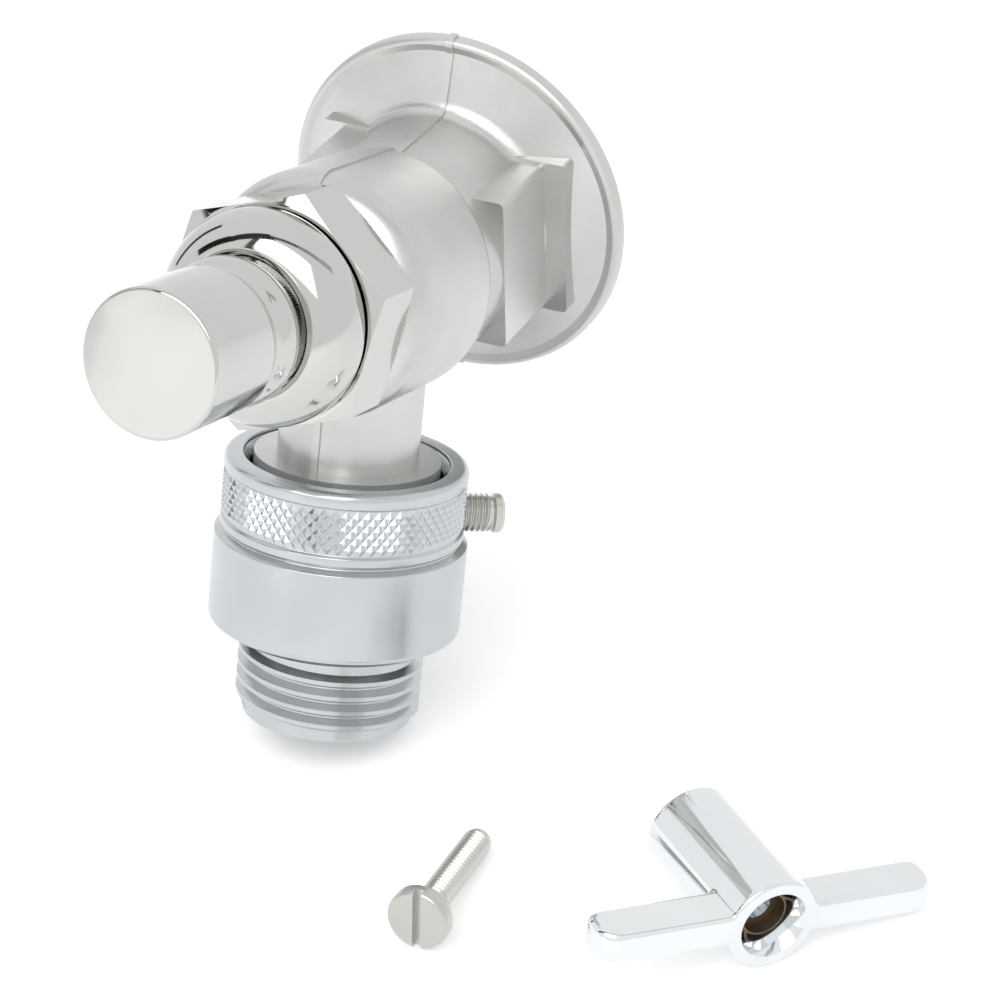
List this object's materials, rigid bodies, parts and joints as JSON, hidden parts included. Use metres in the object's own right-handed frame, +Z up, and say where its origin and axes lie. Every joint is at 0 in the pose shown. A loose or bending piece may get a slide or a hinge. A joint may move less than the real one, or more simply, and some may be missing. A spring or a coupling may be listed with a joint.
{
  "type": "sillcock",
  "caption": "Flanged chrome sillcock with tilted valve, hex bonnet, capped stem, hose vacuum breaker, loose T-key and key screw.",
  "frame": {"origin": "centre of the flange's back face, on the inlet's axis", "axes": "+Y along the inlet into the wall, +Z up, so the spindle points out along -Y and 15 degrees up"},
  "size_m": [0.1196, 0.088, 0.0911],
  "materials": {
    "satin_chrome": "satin plate over a lightly blasted casting",
    "polished_chrome": "polished",
    "brass": "machined",
    "black_rubber": "matte",
    "fibre": "matte fibre",
    "stainless_steel": "satin",
    "acetal": "smooth"
  },
  "bodies": {
    "housing": {"valve_body": "satin_chrome", "seat_ring": "brass", "cartridge_body": "brass", "cartridge_gasket": "fibre", "bonnet_nut": "polished_chrome", "bonnet_collar": "polished_chrome", "breaker_body": "polished_chrome", "break_off_screw": "stainless_steel", "hose_washer": "black_rubber", "breaker_seal": "black_rubber", "breaker_outlet": "polished_chrome", "breaker_snap_ring": "stainless_steel", "breaker_spring": "stainless_steel"},
    "washer_carrier": {"washer_holder": "brass", "seat_washer": "black_rubber", "washer_screw": "stainless_steel"},
    "spindle": {"spindle": "brass", "stem_o_rings": "black_rubber"},
    "cap": {"stem_cap": "polished_chrome"},
    "poppet": {"breaker_poppet": "acetal"},
    "key": {"t_handle": "polished_chrome"},
    "key_screw": {"handle_screw": "stainless_steel"}
  },
  "joints": [
    {"name": "spindle_rise", "type": "slide", "parent": "housing", "child": "washer_carrier", "axis": [0, -0.9659, 0.2588], "range_m": [0, 0.00381]},
    {"name": "spindle_turn", "type": "hinge", "parent": "washer_carrier", "child": "spindle", "pos_m": [0, -0.03973, 0.00486], "axis": [0, -0.9659, 0.2588], "range_deg": [0, 540]},
    {"name": "cap_pull", "type": "slide", "parent": "housing", "child": "cap", "axis": [0, -0.9659, 0.2588], "range_m": [0, 0.045]},
    {"name": "poppet_drop", "type": "slide", "parent": "housing", "child": "poppet", "axis": [0, -0.2588, -0.9659], "range_m": [0, 0.0025], "stiffness_N_per_m": 120, "springref_m": -0.004, "deforming": ["breaker_spring"]},
    {"name": "key_lift", "type": "slide", "parent": "housing", "child": "key", "axis": [0, 0, 1], "range_m": [0, 0.06]},
    {"name": "screw_lift", "type": "slide", "parent": "housing", "child": "key_screw", "axis": [0, 0, 1], "range_m": [0, 0.06]}
  ],
  "couplings": [
    {"joint": "spindle_turn", "follows": "spindle_rise", "rad_per_m": 2473.7}
  ]
}
